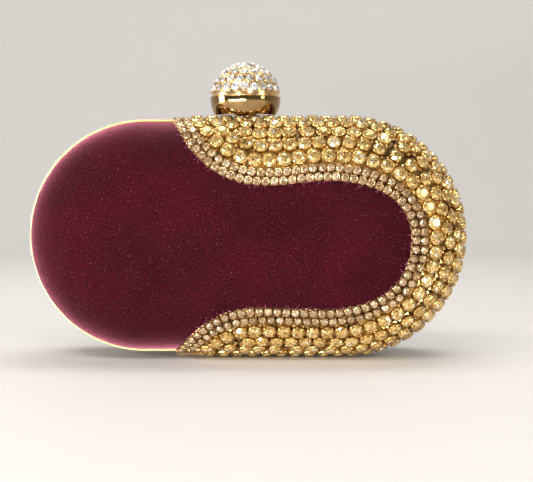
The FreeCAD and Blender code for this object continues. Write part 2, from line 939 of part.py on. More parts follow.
def laid_flat_to_case(x, z):
    """The point and outward direction on the front velvet of a point of the flat layout."""
    half, flat, roll = straight_half.value, flat_half.value, size.roll_radius.value
    foot = max(-half, min(half, x))
    reach = math.hypot(x - foot, z)
    side_x, side_z = ((x - foot) / reach, z / reach) if reach > 1e-9 else (0.0, 0.0)
    angle = max(0.0, (reach - flat) / roll)
    out = reach if angle == 0.0 else flat + roll * math.sin(angle)
    depth = roll_start.value + roll * math.cos(angle)
    point = Vector(foot + side_x * out, -depth, side_z * out)
    normal = Vector(side_x * math.sin(angle), -math.cos(angle), side_z * math.sin(angle))
    return point, normal, angle


def stations():
    """Points of the trim's inner edge on the flat layout, each with its outward direction."""
    curve = Part.BSplineCurve()
    curve.interpolate([Vector(x, 0, z) for x, z in TRIM_EDGE])
    first, last = curve.FirstParameter, curve.LastParameter
    found = []
    for i in range(SAMPLES + 1):
        at = first + (last - first) * i / SAMPLES
        here, along = curve.value(at), curve.tangent(at)[0]
        found.append((here.x, here.z, -along.z, along.x))
    return found


def offset_line(distance):
    """Points of the flat layout at one distance outside the trim's inner edge."""
    return [(x + out_x * distance, z + out_z * distance) for x, z, out_x, out_z in stations()]


def band_line(row):
    """A line across the band of large stones: row 0 is next to the small rows, and the last
    row is next to the outermost one."""
    line = []
    for x, z, out_x, out_z in stations():
        rows = TOP_ROWS if z > 0 else BOTTOM_ROWS
        far = FIRST_LARGE
        while laid_flat_to_case(x + out_x * far, z + out_z * far)[2] < EDGE_ANGLE and far < 60:
            far += 0.25
        distance = FIRST_LARGE + (far - FIRST_LARGE) * row / rows
        line.append((x + out_x * distance, z + out_z * distance))
    return line


def edge_line():
    """Points of the flat layout along the outermost row, from one tip of the trim round the
    right-hand end to the other."""
    reach = flat_half.value + size.roll_radius.value * EDGE_ANGLE
    half = straight_half.value
    tip = EDGE_START
    bend = [
        (half + reach * math.sin(math.pi * i / 400), reach * math.cos(math.pi * i / 400))
        for i in range(401)
    ]
    return [(tip, reach)] + bend + [(tip, -reach)]


def walk(line):
    """Closely spaced places along a line of the flat layout."""
    for (x0, z0), (x1, z1) in zip(line, line[1:]):
        steps = max(1, int(math.hypot(x1 - x0, z1 - z0) / STEP))
        for k in range(steps):
            yield x0 + (x1 - x0) * k / steps, z0 + (z1 - z0) * k / steps


class Trim:
    """Stones laid one after another, each in the first place that is free of the others."""

    def __init__(self):
        self.taken = []

    def is_free(self, point, radius):
        return all(
            abs(point.x - other.x) >= radius + r or (point - other).Length >= radius + r
            for other, r in self.taken
        )

    def lay(self, places, radius, limit):
        seats = []
        for x, z in places:
            point, normal, angle = laid_flat_to_case(x, z)
            if angle <= limit and self.is_free(point, radius):
                self.taken.append((point, radius))
                seats.append((x, z))
        return seats


def nudged(place, push):
    """A place of the flat layout after a push that is given on the case."""
    x, z = place
    half, flat, roll = straight_half.value, flat_half.value, size.roll_radius.value
    foot = max(-half, min(half, x))
    reach = math.hypot(x - foot, z)
    side_x, side_z = (x - foot) / reach, z / reach
    angle = max(0.0, (reach - flat) / roll)
    out = (push.x * side_x + push.z * side_z) * math.cos(angle) + push.y * math.sin(angle)
    along = push.z * side_x - push.x * side_z
    out = min(out, flat + roll * EDGE_ANGLE - reach)
    return x + side_x * out - side_z * along, z + side_z * out + side_x * along


def settle(places, fixed, radius, gap, rounds):
    """Places of equal stones after they have pushed one another, and been pushed by the fixed
    stones, until their gaps are even."""
    for _ in range(rounds):
        points = [laid_flat_to_case(x, z)[0] for x, z in places]
        others = [(point, radius, 0.5) for point in points] + [(q, r, 1.0) for q, r in fixed]
        moved = []
        for place, point in zip(places, points):
            push = Vector()
            for other, r, share in others:
                near = radius + r + gap
                if other is point or abs(point.x - other.x) >= near:
                    continue
                away = point - other
                if away.Length < near:
                    push += away * (share * (near - away.Length) / away.Length)
            moved.append(nudged(place, push))
        places = moved
    return places


def widest_hole(places, fixed, radius, spots):
    """The spot that is farthest from every stone, and how far it is."""
    taken = [(laid_flat_to_case(x, z)[0], radius) for x, z in places] + fixed
    best, most = None, 0.0
    for place, spot in spots:
        room = most + 1.0
        for point, r in taken:
            room = min(room, (spot - point).Length - r)
            if room <= most:
                break
        else:
            best, most = place, room
    return best, most


def band_spots():
    """Places about 1 mm apart over the band of large stones, each with its point on the case."""
    spots = []
    for step in range(32):
        for place in offset_line(FIRST_LARGE + step)[::6]:
            point, _, angle = laid_flat_to_case(*place)
            if angle <= EDGE_ANGLE:
                spots.append((place, point))
    return spots


def stone_seats():
    """Seats of the small rows, the outermost row and the large stones between them. The large
    ones are laid row by row, then one more is pushed into every hole that is wide enough."""
    small_r = size.small_radius.value + CUP_WALL
    large_r = size.large_radius.value + CUP_WALL
    trim = Trim()
    small, large = [], []
    for distance in SMALL_OFFSETS:
        small += trim.lay(walk(offset_line(distance)), small_r, SMALL_LIMIT)
    edge = trim.lay(walk(edge_line()), large_r, LARGE_LIMIT)
    fixed = list(trim.taken)
    trim.taken = [taken for taken in fixed if taken[1] == large_r]
    for row in range(TOP_ROWS):
        large += trim.lay(walk(band_line(row)), large_r, EDGE_ANGLE)
    trim.taken = list(fixed)
    large = settle(large, fixed, large_r, SPARE, 30)
    spots = band_spots()
    while True:
        place, room = widest_hole(large, fixed, large_r, spots)
        if room < LEAST_HOLE:
            break
        large = settle(large + [place], fixed, large_r, SPARE, 30)
    large = settle(large, fixed, large_r, 0.03, 150)
    large = trim.lay(large, large_r, EDGE_ANGLE + 0.01)
    return tuple([laid_flat_to_case(*place)[:2] for place in row] for row in (small, edge, large))


def lowest(seat, gem):
    placed = gem.copy()
    placed.Placement = FreeCAD.Placement(seat[0], upright(seat[1]))
    return placed.BoundBox.ZMin + middle_z.value


def stone_trim():
    small, edge, large = stone_seats()
    small_r, large_r = size.small_radius.value, size.large_radius.value
    large_gem = gem_for(large_r, LARGE_HEIGHT)
    foot = [seat for seat in edge if lowest(seat, large_gem) < FOOT_LEVEL]
    edge = [seat for seat in edge if seat not in foot]
    parts = []
    for name, seats, radius, height in (
        ("foot", foot, large_r, LARGE_HEIGHT),
        ("edge", edge, large_r, LARGE_HEIGHT),
        ("large", large, large_r, LARGE_HEIGHT),
        ("small", small, small_r, SMALL_HEIGHT),
    ):
        cup = claw_cup(radius + CUP_WALL, height, radius * PAVILION)
        parts.append(feature(f"{name}_cups", spread(cup, seats), z=middle_z))
        parts.append(feature(f"{name}_stones", spread(gem_for(radius, height), seats), z=middle_z))
    return parts


# --- assembly --------------------------------------------------------------------------------


def build():
    parts = []
    for prefix, side in (("back", BACK), ("front", FRONT)):
        own, other = BACK_KNUCKLES, FRONT_KNUCKLES
        if side == FRONT:
            own, other = other, own
        parts += half_layers(prefix, side)
        parts.append(frame(prefix, side))
        parts.append(hinge_leaf(prefix, side, own, other))
        parts.append(leaf_rivets(prefix, side))
    parts += [
        hinge_pin(),
        clasp_bracket(),
        plate_screws("bracket_screws", BACK),
        clasp_pivot_pin(),
        clasp_spring(),
        clasp_lever(),
        clasp_striker(),
        plate_screws("striker_screws", FRONT),
        ball_base_cup(),
        ball_rim_ring(),
        ball_dome(),
        ball_screw(),
        ball_bezels(),
        ball_crystals(),
        chain_loop("chain_loop_left", -size.loop_offset),
        chain_loop("chain_loop_right", size.loop_offset),
        slip_pocket(),
    ]
    parts += stone_trim()
    return parts


def check(parts):
    """Stops the build if any object failed or any sub-part's shape is empty or invalid."""
    failed = [o.Name for o in doc.Objects if {"Invalid", "Error"} & set(o.State)]
    bad = [p.Label for p in parts if p.Shape.isNull() or not p.Shape.isValid()]
    if failed or bad:
        raise RuntimeError(f"failed objects {failed}, bad shapes {bad}")


parts = build()
doc.recompute()
check(parts)
os.makedirs("parts", exist_ok=True)
for part in parts:
    part.Shape.exportStep(os.path.join("parts", f"{part.Label}.step"))
    box_of = part.Shape.BoundBox
    print(
        f"{part.Label}: solids {len(part.Shape.Solids)}, volume {part.Shape.Volume:.1f},"
        f" x {box_of.XMin:.2f}..{box_of.XMax:.2f}, y {box_of.YMin:.2f}..{box_of.YMax:.2f},"
        f" z {box_of.ZMin:.2f}..{box_of.ZMax:.2f}"
    )
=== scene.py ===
"""Looks of a stadium-shaped velvet clutch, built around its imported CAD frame. Metres, +Z up."""

import math
import random

import bmesh
import bpy
import numpy as np
from mathutils import Matrix, Quaternion, Vector, noise


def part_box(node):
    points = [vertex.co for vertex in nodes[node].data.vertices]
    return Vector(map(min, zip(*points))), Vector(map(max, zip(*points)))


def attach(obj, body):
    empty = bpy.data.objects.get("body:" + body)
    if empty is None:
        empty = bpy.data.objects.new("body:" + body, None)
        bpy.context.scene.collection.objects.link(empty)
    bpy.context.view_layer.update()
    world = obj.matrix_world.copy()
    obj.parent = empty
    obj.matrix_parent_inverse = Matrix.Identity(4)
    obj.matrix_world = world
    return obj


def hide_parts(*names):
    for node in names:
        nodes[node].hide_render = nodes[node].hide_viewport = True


MM = 0.001
PER_METRE = 1000  # puts texture coordinates in millimetres
SEED = 7

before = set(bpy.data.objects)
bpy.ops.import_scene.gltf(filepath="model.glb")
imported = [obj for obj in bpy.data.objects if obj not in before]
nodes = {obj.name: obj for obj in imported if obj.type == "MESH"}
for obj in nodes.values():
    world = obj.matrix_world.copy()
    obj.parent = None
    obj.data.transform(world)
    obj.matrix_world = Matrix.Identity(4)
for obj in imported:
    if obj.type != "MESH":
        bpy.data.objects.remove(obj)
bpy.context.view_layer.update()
rng = random.Random(SEED)


# --- places taken from the CAD boxes ---------------------------------------------------------


def low(node, axis):
    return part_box(node)[0][axis]


def high(node, axis):
    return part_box(node)[1][axis]


HALF = (high("front_frame", 2) - low("front_frame", 2)) / 2
MIDDLE_Z = (high("front_frame", 2) + low("front_frame", 2)) / 2
STRAIGHT = high("front_frame", 0) - HALF
VELVET_R = (high("front_velvet", 2) - low("front_velvet", 2)) / 2
FACE = high("back_velvet", 1)
RIM = low("back_velvet", 1)
ROLL = 24 * MM
ROLL_START = FACE - ROLL
LINING_R = (high("back_lining", 2) - low("back_lining", 2)) / 2
LINING_RIM = low("back_lining", 1)
PADDING_R = (high("back_padding", 2) - low("back_padding", 2)) / 2
BALL = Vector((0, 0, high("ball_base_cup", 2)))
BALL_R = high("ball_base_cup", 0)
BALL_FLOOR = low("ball_base_cup", 2)
DOME_R = high("ball_dome", 2) - BALL.z
BALL_WALL = 0.8 * MM


# --- materials -------------------------------------------------------------------------------


class Shader:
    """A Principled material and the few helpers that its node tree needs."""

    def __init__(self, name, color, roughness, metallic=0.0, **sockets):
        self.material = bpy.data.materials.new(name)
        self.material.use_nodes = True
        self.tree = self.material.node_tree
        self.bsdf = self.tree.nodes["Principled BSDF"]
        self.bsdf.inputs["Base Color"].default_value = (*color, 1)
        self.bsdf.inputs["Roughness"].default_value = roughness
        self.bsdf.inputs["Metallic"].default_value = metallic
        for socket, value in sockets.items():
            self.bsdf.inputs[socket.replace("_", " ")].default_value = value
        self.material.diffuse_color = (*color, 1)

    def node(self, kind, **inputs):
        made = self.tree.nodes.new(kind)
        for key, value in inputs.items():
            made.inputs[key.replace("_", " ")].default_value = value
        return made

    def link(self, out, into):
        self.tree.links.new(out, into)

    def coords(self, scale, uv=False, turn=0.0):
        source = self.node("ShaderNodeTexCoord").outputs["UV" if uv else "Object"]
        mapping = self.node("ShaderNodeMapping")
        mapping.inputs["Scale"].default_value = (scale, scale, scale)
        mapping.inputs["Rotation"].default_value = (0, 0, turn)
        self.link(source, mapping.inputs["Vector"])
        return mapping.outputs["Vector"]

    def noise(self, vector, scale, detail=2.0, roughness=0.5):
        made = self.node(
            "ShaderNodeTexNoise", Scale=scale, Detail=detail, Roughness=roughness
        )
        self.link(vector, made.inputs["Vector"])
        return made.outputs["Fac"]

    def wave(self, vector, scale, distortion):
        made = self.node(
            "ShaderNodeTexWave", Scale=scale, Distortion=distortion, Detail=2.0, Detail_Scale=2.0
        )
        self.link(vector, made.inputs["Vector"])
        return made.outputs["Fac"]

    def math(self, kind, a, b):
        made = self.node("ShaderNodeMath")
        made.operation = kind
        for socket, value in zip(made.inputs, (a, b)):
            if isinstance(value, (int, float)):
                socket.default_value = value
            else:
                self.link(value, socket)
        return made.outputs[0]

    def ramp(self, factor, stops, smooth=True):
        made = self.node("ShaderNodeValToRGB")
        made.color_ramp.interpolation = "EASE" if smooth else "LINEAR"
        elements = made.color_ramp.elements
        while len(elements) < len(stops):
            elements.new(0.5)
        for element, (place, color) in zip(elements, stops):
            element.position = place
            element.color = (*color, 1)
        self.link(factor, made.inputs["Fac"])
        return made.outputs["Color"]

    def span(self, factor, low_value, high_value):
        made = self.node("ShaderNodeMapRange")
        made.inputs["To Min"].default_value = low_value
        made.inputs["To Max"].default_value = high_value
        self.link(factor, made.inputs["Value"])
        return made.outputs["Result"]

    def mix(self, factor, a, b, kind="MIX"):
        made = self.node("ShaderNodeMix")
        made.data_type = "RGBA"
        made.blend_type = kind
        for socket, value in ((made.inputs[0], factor), (made.inputs[6], a), (made.inputs[7], b)):
            if isinstance(value, (int, float)):
                socket.default_value = value
            elif isinstance(value, tuple):
                socket.default_value = (*value, 1)
            else:
                self.link(value, socket)
        return made.outputs[2]

    def bump(self, height, distance, strength=1.0):
        made = self.node("ShaderNodeBump", Strength=strength, Distance=distance)
        self.link(height, made.inputs["Height"])
        self.link(made.outputs["Normal"], self.bsdf.inputs["Normal"])

    def set(self, socket, out):
        self.link(out, self.bsdf.inputs[socket])


def velvet(name, dark, lit, sheen):
    """Short-pile velvet with a fine diagonal ground and a few painted glints, where pile fibres catch
    the light.
    """
    shader = Shader(
        name, dark, 0.85, Sheen_Weight=1.0, Sheen_Roughness=0.36, Sheen_Tint=(*sheen, 1),
        Specular_IOR_Level=0.06,
    )
    vector = shader.coords(PER_METRE, uv=True)
    slanted = shader.coords(PER_METRE, uv=True, turn=math.radians(130))
    twill = shader.wave(slanted, 0.36, 2.6)
    pile = shader.noise(vector, 1.25, 2.0, 0.7)
    crushed = shader.noise(vector, 0.035, 3.0, 0.5)
    tone = shader.math("MULTIPLY", twill, 0.42)
    tone = shader.math("ADD", tone, shader.math("MULTIPLY", pile, 2.2))
    tone = shader.math("ADD", tone, shader.math("MULTIPLY", crushed, 0.7))
    tone = shader.math("SUBTRACT", tone, 1.32)
    color = shader.ramp(tone, [(0.05, dark), (0.95, lit)], smooth=False)
    # Pale pink specks in the base colour: painted glints of pile fibres catching the light.
    fibre_glints = shader.ramp(shader.noise(vector, 1.0, 1.0), [(0.65, (0, 0, 0)), (0.77, (1, 1, 1))])
    glint_fibre_color = tuple(min(1.0, 0.045 + 1.8 * c) for c in lit)
    shader.set("Base Color", shader.mix(shader.math("MULTIPLY", fibre_glints, 0.55), color, glint_fibre_color))
    shader.bump(shader.math("ADD", pile, shader.math("MULTIPLY", twill, 0.25)), 0.00028, 0.9)
    return shader.material


def satin(name, dark, lit):
    """Lining satin with fine floats along one direction."""
    shader = Shader(
        name, dark, 0.42, Sheen_Weight=0.35, Sheen_Roughness=0.3, Anisotropic=0.5,
        Specular_IOR_Level=0.35,
    )
    vector = shader.coords(PER_METRE, uv=True)
    threads = shader.wave(vector, 0.9, 0.6)
    mottle_and_glare = shader.noise(vector, 0.08, 2.0)
    tone = shader.math(
        "ADD", shader.math("MULTIPLY", threads, 0.25), shader.math("MULTIPLY", mottle_and_glare, 0.75)
    )
    shader.set("Base Color", shader.ramp(tone, [(0.2, dark), (0.8, lit)]))
    shader.set("Roughness", shader.span(mottle_and_glare, 0.28, 0.46))
    shader.bump(threads, 0.00005, 0.5)
    return shader.material


def metal(name, dark, lit, roughness, scratch=0.00002):
    """Polished plating with faint wear and hairline scratches."""
    shader = Shader(name, lit, roughness, 1.0)
    vector = shader.coords(PER_METRE)
    mottle_and_glare = shader.noise(vector, 0.12, 3.0)
    fine = shader.noise(vector, 2.2, 4.0, 0.7)
    shader.set("Base Color", shader.ramp(mottle_and_glare, [(0.3, dark), (0.65, lit)]))
    shader.set("Roughness", shader.span(fine, roughness * 0.6, roughness * 1.6))
    shader.bump(fine, scratch, 0.4)
    return shader.material


def gem(name, stops, metallic, roughness=0.06):
    """A foil-backed stone. Each facet has its own painted tone: painted reflections, lighter on some
    facets and painted shade on others.
    """
    shader = Shader(
        name, stops[2][1], roughness, metallic, Coat_Weight=0.55, Coat_Roughness=0.02,
    )
    tone = shader.node("ShaderNodeAttribute")
    tone.attribute_name = "tone"
    grain = shader.noise(shader.coords(PER_METRE), 0.9, 2.0)
    flaw = shader.math("MULTIPLY", shader.math("SUBTRACT", grain, 0.5), 0.22)
    value = shader.math("ADD", tone.outputs["Fac"], flaw)
    shader.set("Base Color", shader.ramp(value, stops, smooth=False))
    return shader.material


def plain(name, color, roughness, grain, depth, **sockets):
    """Matte material with a grain, for foam and moulded shell."""
    shader = Shader(name, color, roughness, **sockets)
    speckle = shader.noise(shader.coords(PER_METRE), grain, 3.0)
    dark = tuple(c * 0.8 for c in color)
    shader.set("Base Color", shader.ramp(speckle, [(0.3, dark), (0.7, color)]))
    shader.bump(speckle, depth, 0.6)
    return shader.material


VELVET = velvet("wine_velvet", (0.008, 0.0003, 0.0013), (0.066, 0.0022, 0.0088), (0.74, 0.22, 0.30))
SATIN = satin("wine_satin", (0.050, 0.0045, 0.012), (0.125, 0.013, 0.029))
GOLD = metal("gold_plating", (0.76, 0.48, 0.19), (0.90, 0.63, 0.30), 0.18)
MIRROR_GOLD = metal("mirror_gold", (0.32, 0.20, 0.08), (0.42, 0.275, 0.12), 0.05, 0.000004)
FRAME_GOLD = metal("frame_gold", (0.31, 0.20, 0.083), (0.36, 0.24, 0.102), 0.34)
BRIGHT_GOLD = metal("bright_gold", (0.62, 0.51, 0.36), (0.80, 0.70, 0.54), 0.22)
CUP_GOLD = metal("cup_gold", (0.46, 0.29, 0.095), (0.74, 0.52, 0.21), 0.26)
# Dark gold of the rings between the large cups: painted shade.
SHADE_GOLD = metal("painted_shade_gold", (0.10, 0.060, 0.022), (0.20, 0.125, 0.045), 0.4)
PALE_GOLD = metal("pale_cup_gold", (0.33, 0.21, 0.087), (0.56, 0.39, 0.195), 0.28)
STEEL = metal("bright_steel", (0.45, 0.44, 0.43), (0.66, 0.65, 0.63), 0.24)
# Stone ramps: the middle stops are the glass's own colour, the darkest stops painted shade, and the
# top stops up to white painted highlights.
TOPAZ = gem(
    "topaz_glass",
    [
        (0.0, (0.14, 0.058, 0.010)),
        (0.22, (0.30, 0.165, 0.042)),
        (0.5, (0.61, 0.378, 0.112)),
        (0.78, (0.84, 0.60, 0.235)),
        (0.93, (1.0, 0.87, 0.55)),
        (1.0, (1.0, 0.98, 0.92)),
    ],
    0.7,
)
CHAMPAGNE = gem(
    "champagne_glass",
    [
        (0.0, (0.08, 0.034, 0.011)),
        (0.22, (0.20, 0.108, 0.045)),
        (0.5, (0.37, 0.235, 0.112)),
        (0.78, (0.58, 0.41, 0.235)),
        (0.93, (0.90, 0.76, 0.54)),
        (1.0, (1.0, 0.98, 0.92)),
    ],
    0.6,
)
CRYSTAL = gem(
    "clear_glass",
    [
        (0.0, (0.03, 0.028, 0.025)),
        (0.2, (0.15, 0.135, 0.115)),
        (0.45, (0.46, 0.43, 0.385)),
        (0.7, (0.80, 0.78, 0.74)),
        (0.9, (0.98, 0.98, 0.97)),
        (1.0, (1.0, 1.0, 1.0)),
    ],
    0.55,
)
FOAM = plain("cream_foam", (0.80, 0.75, 0.64), 0.95, 1.6, 0.0002)
SHELL = plain("moulded_shell", (0.10, 0.095, 0.09), 0.55, 3.0, 0.00004)
THREAD = plain("velvet_thread", (0.42, 0.10, 0.19), 0.8, 4.0, 0.00002, Sheen_Weight=0.5)


# --- mesh helpers ----------------------------------------------------------------------------


def new_object(name, verts, faces, material, smooth=True):
    mesh = bpy.data.meshes.new(name)
    mesh.from_pydata([tuple(v) for v in verts], [], faces)
    mesh.materials.append(material)
    if smooth:
        mesh.polygons.foreach_set("use_smooth", [True] * len(mesh.polygons))
    made = bpy.data.objects.new(name, mesh)
    bpy.context.scene.collection.objects.link(made)
    return made


def add_mesh(name, verts, faces, material, body, replaces=(), smooth=True):
    """A new piece, with the body it rides on and the CAD nodes it stands for."""
    made = new_object(name, verts, faces, material, smooth)
    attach(made, body)
    if replaces:
        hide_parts(*replaces)
    return made


def apply_modifiers(made):
    graph = bpy.context.evaluated_depsgraph_get()
    mesh = bpy.data.meshes.new_from_object(made.evaluated_get(graph))
    made.modifiers.clear()
    made.data = mesh


def lathe(profile, centre, turns=96, closed=True):
    """Vertices and faces of a profile of (radius, height) points turned about a vertical axis."""
    verts, faces = [], []
    for i in range(turns):
        angle = 2 * math.pi * i / turns
        verts += [
            centre + Vector((r * math.cos(angle), r * math.sin(angle), z)) for r, z in profile
        ]
    count = len(profile)
    for i in range(turns):
        j = (i + 1) % turns
        for k in range(count if closed else count - 1):
            n = (k + 1) % count
            faces.append((i * count + k, j * count + k, j * count + n, i * count + n))
    return verts, faces


# --- padded covers ---------------------------------------------------------------------------

ARC_STEPS, STRAIGHT_STEPS = 60, 56
ROLL_STEPS, FACE_STEPS = 24, 10


def around():
    """Feet and outward directions round a stadium: (x of the foot, direction x, direction z)."""
    found = []
    for i in range(ARC_STEPS):
        angle = -math.pi / 2 + math.pi * i / ARC_STEPS
        found.append((STRAIGHT, math.cos(angle), math.sin(angle)))
    for i in range(STRAIGHT_STEPS):
        found.append((STRAIGHT - 2 * STRAIGHT * i / STRAIGHT_STEPS, 0.0, 1.0))
    for i in range(ARC_STEPS):
        angle = math.pi / 2 + math.pi * i / ARC_STEPS
        found.append((-STRAIGHT, math.cos(angle), math.sin(angle)))
    for i in range(STRAIGHT_STEPS):
        found.append((-STRAIGHT + 2 * STRAIGHT * i / STRAIGHT_STEPS, 0.0, -1.0))
    return found


def profile_rings(outer, roll, rim):
    """Rings of a half's profile from its rim to its middle: distance from the middle line,
    depth, lean of the surface (0 at the face) and length of cloth from the middle."""
    flat = outer - roll
    edge = flat + roll * math.pi / 2
    rings = [
        (outer, y, math.pi / 2, edge + ROLL_START - y)
        for y in np.linspace(rim, ROLL_START, 4)[:-1]
    ]
    for i in range(ROLL_STEPS + 1):
        lean = math.pi / 2 * (1 - i / ROLL_STEPS)
        rings.append(
            (
                flat + roll * math.sin(lean),
                ROLL_START + roll * math.cos(lean),
                lean,
                flat + roll * lean,
            )
        )
    for i in range(1, FACE_STEPS + 1):
        out = flat * (1 - i / FACE_STEPS)
        rings.append((out, ROLL_START + roll, 0.0, out))
    return rings


def cover(name, side, outer, roll, rim, thick, relief, material):
    """A stadium-shaped domed sheet. relief(x, z, reach) lifts it along its own normal."""
    feet, rings = around(), profile_rings(outer, roll, rim)
    verts, flats = [], []
    for distance, depth, lean, reach in rings:
        for foot, out_x, out_z in feet:
            point = Vector((foot + out_x * distance, side * depth, MIDDLE_Z + out_z * distance))
            normal = Vector((out_x * math.sin(lean), side * math.cos(lean), out_z * math.sin(lean)))
            flat = (foot + out_x * reach, out_z * reach)
            lift = relief(flat[0], flat[1], reach)
            verts.append(point + normal * lift)
            flats.append(flat)
    count, faces = len(feet), []
    for row in range(len(rings) - 1):
        for i in range(count):
            j = (i + 1) % count
            quad = (row * count + i, row * count + j, (row + 1) * count + j, (row + 1) * count + i)
            faces.append(quad if side > 0 else quad[::-1])
    mesh = bpy.data.meshes.new(name)
    mesh.from_pydata([tuple(v) for v in verts], [], faces)
    uv = mesh.uv_layers.new(name="flat")
    for loop in mesh.loops:
        uv.data[loop.index].uv = flats[loop.vertex_index]
    work = bmesh.new()
    work.from_mesh(mesh)
    bmesh.ops.remove_doubles(work, verts=work.verts, dist=1e-6)
    bmesh.ops.dissolve_degenerate(work, dist=1e-7, edges=work.edges)
    bmesh.ops.recalc_face_normals(work, faces=work.faces)
    outward = sum((f.normal.y * f.calc_area() for f in work.faces), 0.0) * side
    if outward < 0:
        bmesh.ops.reverse_faces(work, faces=work.faces)
    work.to_mesh(mesh)
    work.free()
    mesh.polygons.foreach_set("use_smooth", [True] * len(mesh.polygons))
    mesh.materials.append(material)
    made = bpy.data.objects.new(name, mesh)
    bpy.context.scene.collection.objects.link(made)
    solid = made.modifiers.new("thickness", "SOLIDIFY")
    solid.thickness = thick
    solid.offset = -1
    apply_modifiers(made)
    return made


def velvet_relief(side):
    """Soft unevenness of the foam under the velvet, and the gathers where it enters the frame."""
    edge = (VELVET_R - ROLL) + ROLL * math.pi / 2
    gather = 13 * MM

    def relief(x, z, reach):
        soft = noise.noise(Vector((x * 28, z * 28, side * 3.1))) * 0.10 * MM
        soft += noise.noise(Vector((x * 80, z * 80, side * 7.7))) * 0.035 * MM
        near = max(0.0, min(1.0, 1 - (edge - reach) / gather))
        fold = noise.noise(Vector((x * 230, z * 230, side * 11.0)))
        return soft - near * near * max(0.0, fold) * 0.34 * MM

    return relief


def foam_relief(x, z, reach):
    return noise.noise(Vector((x * 90, z * 90, 1.7))) * 0.03 * MM


def lining_relief(side):
    """Slack and wrinkles of a lining, which fade out towards its edge."""
    smooth_from, fade_width = 52 * MM, 10 * MM

    def relief(x, z, reach):
        slack = noise.noise(Vector((x * 38, z * 22, side * 5.3)))
        crease = abs(noise.noise(Vector((x * 70, z * 44, side * 2.9))))
        fade = max(0.0, min(1.0, (smooth_from - reach) / fade_width))
        return fade * (-0.22 * MM * max(0.0, slack) - 0.30 * MM * (0.25 - min(0.25, crease)))

    return relief


def build_covers():
    for prefix, side in (("front", -1), ("back", 1)):
        body = f"{prefix}_half"
        skin = cover(
            f"{prefix}_velvet_cover", side, VELVET_R, ROLL, RIM, 0.8 * MM, velvet_relief(side), VELVET
        )
        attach(skin, body)
        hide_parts(f"{prefix}_velvet")
        sunk = VELVET_R - PADDING_R
        foam = cover(
            f"{prefix}_foam", side, PADDING_R, ROLL - sunk, RIM, 1.2 * MM, foam_relief, FOAM
        )
        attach(foam, body)
        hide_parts(f"{prefix}_padding")
        sunk = VELVET_R - LINING_R
        lining = cover(
            f"{prefix}_lining_cloth", side, LINING_R, ROLL - sunk, LINING_RIM, 0.5 * MM,
            lining_relief(side), SATIN,
        )
        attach(lining, body)
        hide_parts(f"{prefix}_lining")


def build_pocket():
    """A gathered slip pocket on the back lining, with a rolled hem along its mouth."""
    left, right = low("slip_pocket", 0), high("slip_pocket", 0)
    bottom, top = low("slip_pocket", 2), high("slip_pocket", 2)
    wall = high("slip_pocket", 1)
    across, up, pleats = 96, 34, 15
    corner = 8 * MM

    def surface(u, v):
        x = left + (right - left) * u
        z = bottom + (top - bottom) * v
        side_gap = min(u, 1 - u) * (right - left)
        if z - bottom < corner and side_gap < corner:
            drop = corner - math.sqrt(max(0.0, corner**2 - (corner - side_gap) ** 2))
            z = max(z, bottom + drop)
        swell = math.sin(math.pi * u) ** 0.6
        pleat = math.sin(u * 2 * math.pi * pleats + 1.3 * math.sin(u * 17)) * 0.42 * MM
        rise = v**1.4
        out = 0.5 * MM + swell * (rise * 2.2 * MM + rise * pleat)
        out += 0.25 * MM * noise.noise(Vector((x * 70, z * 50, 4.0))) * swell
        return Vector((x, wall - max(0.2 * MM, out), z))

    verts = [surface(i / across, j / up) for j in range(up + 1) for i in range(across + 1)]
    faces = [
        (
            j * (across + 1) + i,
            j * (across + 1) + i + 1,
            (j + 1) * (across + 1) + i + 1,
            (j + 1) * (across + 1) + i,
        )
        for j in range(up)
        for i in range(across)
    ]
    pocket = add_mesh("slip_pocket_cloth", verts, faces, SATIN, "back_half", ["slip_pocket"])
    uv = pocket.data.uv_layers.new(name="flat")
    for loop in pocket.data.loops:
        point = pocket.data.vertices[loop.vertex_index].co
        uv.data[loop.index].uv = (point.x, point.z)
    solid = pocket.modifiers.new("thickness", "SOLIDIFY")
    solid.thickness = 0.35 * MM
    solid.offset = 1
    apply_modifiers(pocket)
    line = [surface(i / across, 1.0) + Vector((0, -0.1 * MM, 0)) for i in range(across + 1)]
    hem = tube("slip_pocket_hem", [line], 0.75 * MM, SATIN, "back_half", sides=10)


def tube(name, lines, radius, material, body, sides, taper=False):
    """Round tubes along lines of points, as one piece with closed ends."""
    verts, faces = [], []
    for line in lines:
        start = len(verts)
        for i, point in enumerate(line):
            ahead, behind = line[min(i + 1, len(line) - 1)], line[max(i - 1, 0)]
            turn = Vector(ahead - behind).normalized().to_track_quat("Z", "Y")
            r = radius * (1 - 0.6 * i / (len(line) - 1)) if taper else radius
            for k in range(sides):
                angle = 2 * math.pi * k / sides
                verts.append(point + turn @ Vector((r * math.cos(angle), r * math.sin(angle), 0)))
        for i in range(len(line) - 1):
            for k in range(sides):
                a, b = start + i * sides, start + (i + 1) * sides
                n = (k + 1) % sides
                faces.append((a + k, a + n, b + n, b + k))
        faces.append(tuple(start + k for k in reversed(range(sides))))
        last = start + (len(line) - 1) * sides
        faces.append(tuple(last + k for k in range(sides)))
    return add_mesh(name, verts, faces, material, body)


# --- stones ----------------------------------------------------------------------------------


def islands(node):
    """Corner points of each separate solid in a CAD node's mesh."""
    mesh = nodes[node].data
    points = np.empty(len(mesh.vertices) * 3)
    mesh.vertices.foreach_get("co", points)
    points = np.round(points.reshape(-1, 3), 6)
    unique, index = np.unique(points, axis=0, return_inverse=True)
    index = index.ravel()
    parent = list(range(len(unique)))

    def find(a):
        while parent[a] != a:
            parent[a] = parent[parent[a]]
            a = parent[a]
        return a

    for polygon in mesh.polygons:
        ring = [find(int(index[v])) for v in polygon.vertices]
        for other in ring[1:]:
            parent[find(other)] = find(ring[0])
    groups = {}
    for i in range(len(unique)):
        groups.setdefault(find(i), []).append(unique[i])
    return [np.array(group) for group in groups.values()]


